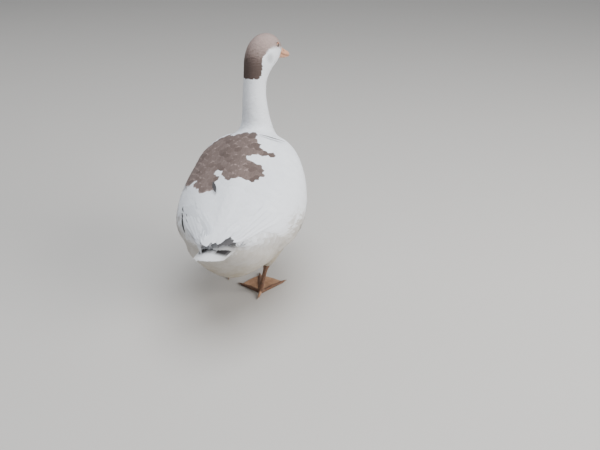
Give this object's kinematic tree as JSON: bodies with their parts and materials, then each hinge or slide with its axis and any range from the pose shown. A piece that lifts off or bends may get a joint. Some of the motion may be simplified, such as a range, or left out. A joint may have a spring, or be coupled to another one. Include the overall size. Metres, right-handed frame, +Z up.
{
  "type": "domestic goose",
  "caption": "Still, life-size domestic goose in white plumage with a grey-brown saddle and cap, standing on webbed feet in a slow step with its head turned to its right.",
  "frame": {"origin": "on the floor under the middle of the goose's box", "axes": "+Z up, -Y the way the goose faces, +X to the goose's left"},
  "size_m": [0.2798, 0.6078, 0.5511],
  "materials": {
    "plumage_white": "white to cream feathers, matt, greyer underneath",
    "plumage_brown": "grey-brown feathers with paler edges, matt",
    "leg_skin": "orange scaly skin, slightly glossy",
    "bill_horn": "orange horn with a pale nail, satin",
    "claw_horn": "dark brown horn, satin",
    "eye": "dark, wet and glossy"
  },
  "bodies": {
    "root": {"trunk": "plumage_white", "neck_lower": "plumage_white", "neck_upper": "plumage_white", "head": "plumage_brown", "mantle": "plumage_brown", "wing_left": "plumage_white", "wing_right": "plumage_white", "tail": "plumage_white", "thigh_left": "plumage_white", "thigh_right": "plumage_white", "bill_upper": "bill_horn", "bill_lower": "bill_horn", "eye_left": "eye", "eye_right": "eye", "shank_left": "leg_skin", "shank_right": "leg_skin", "foot_left": "leg_skin", "foot_right": "leg_skin", "claw_left_1": "claw_horn", "claw_left_2": "claw_horn", "claw_left_3": "claw_horn", "claw_left_4": "claw_horn", "claw_right_1": "claw_horn", "claw_right_2": "claw_horn", "claw_right_3": "claw_horn", "claw_right_4": "claw_horn"}
  },
  "joints": []
}
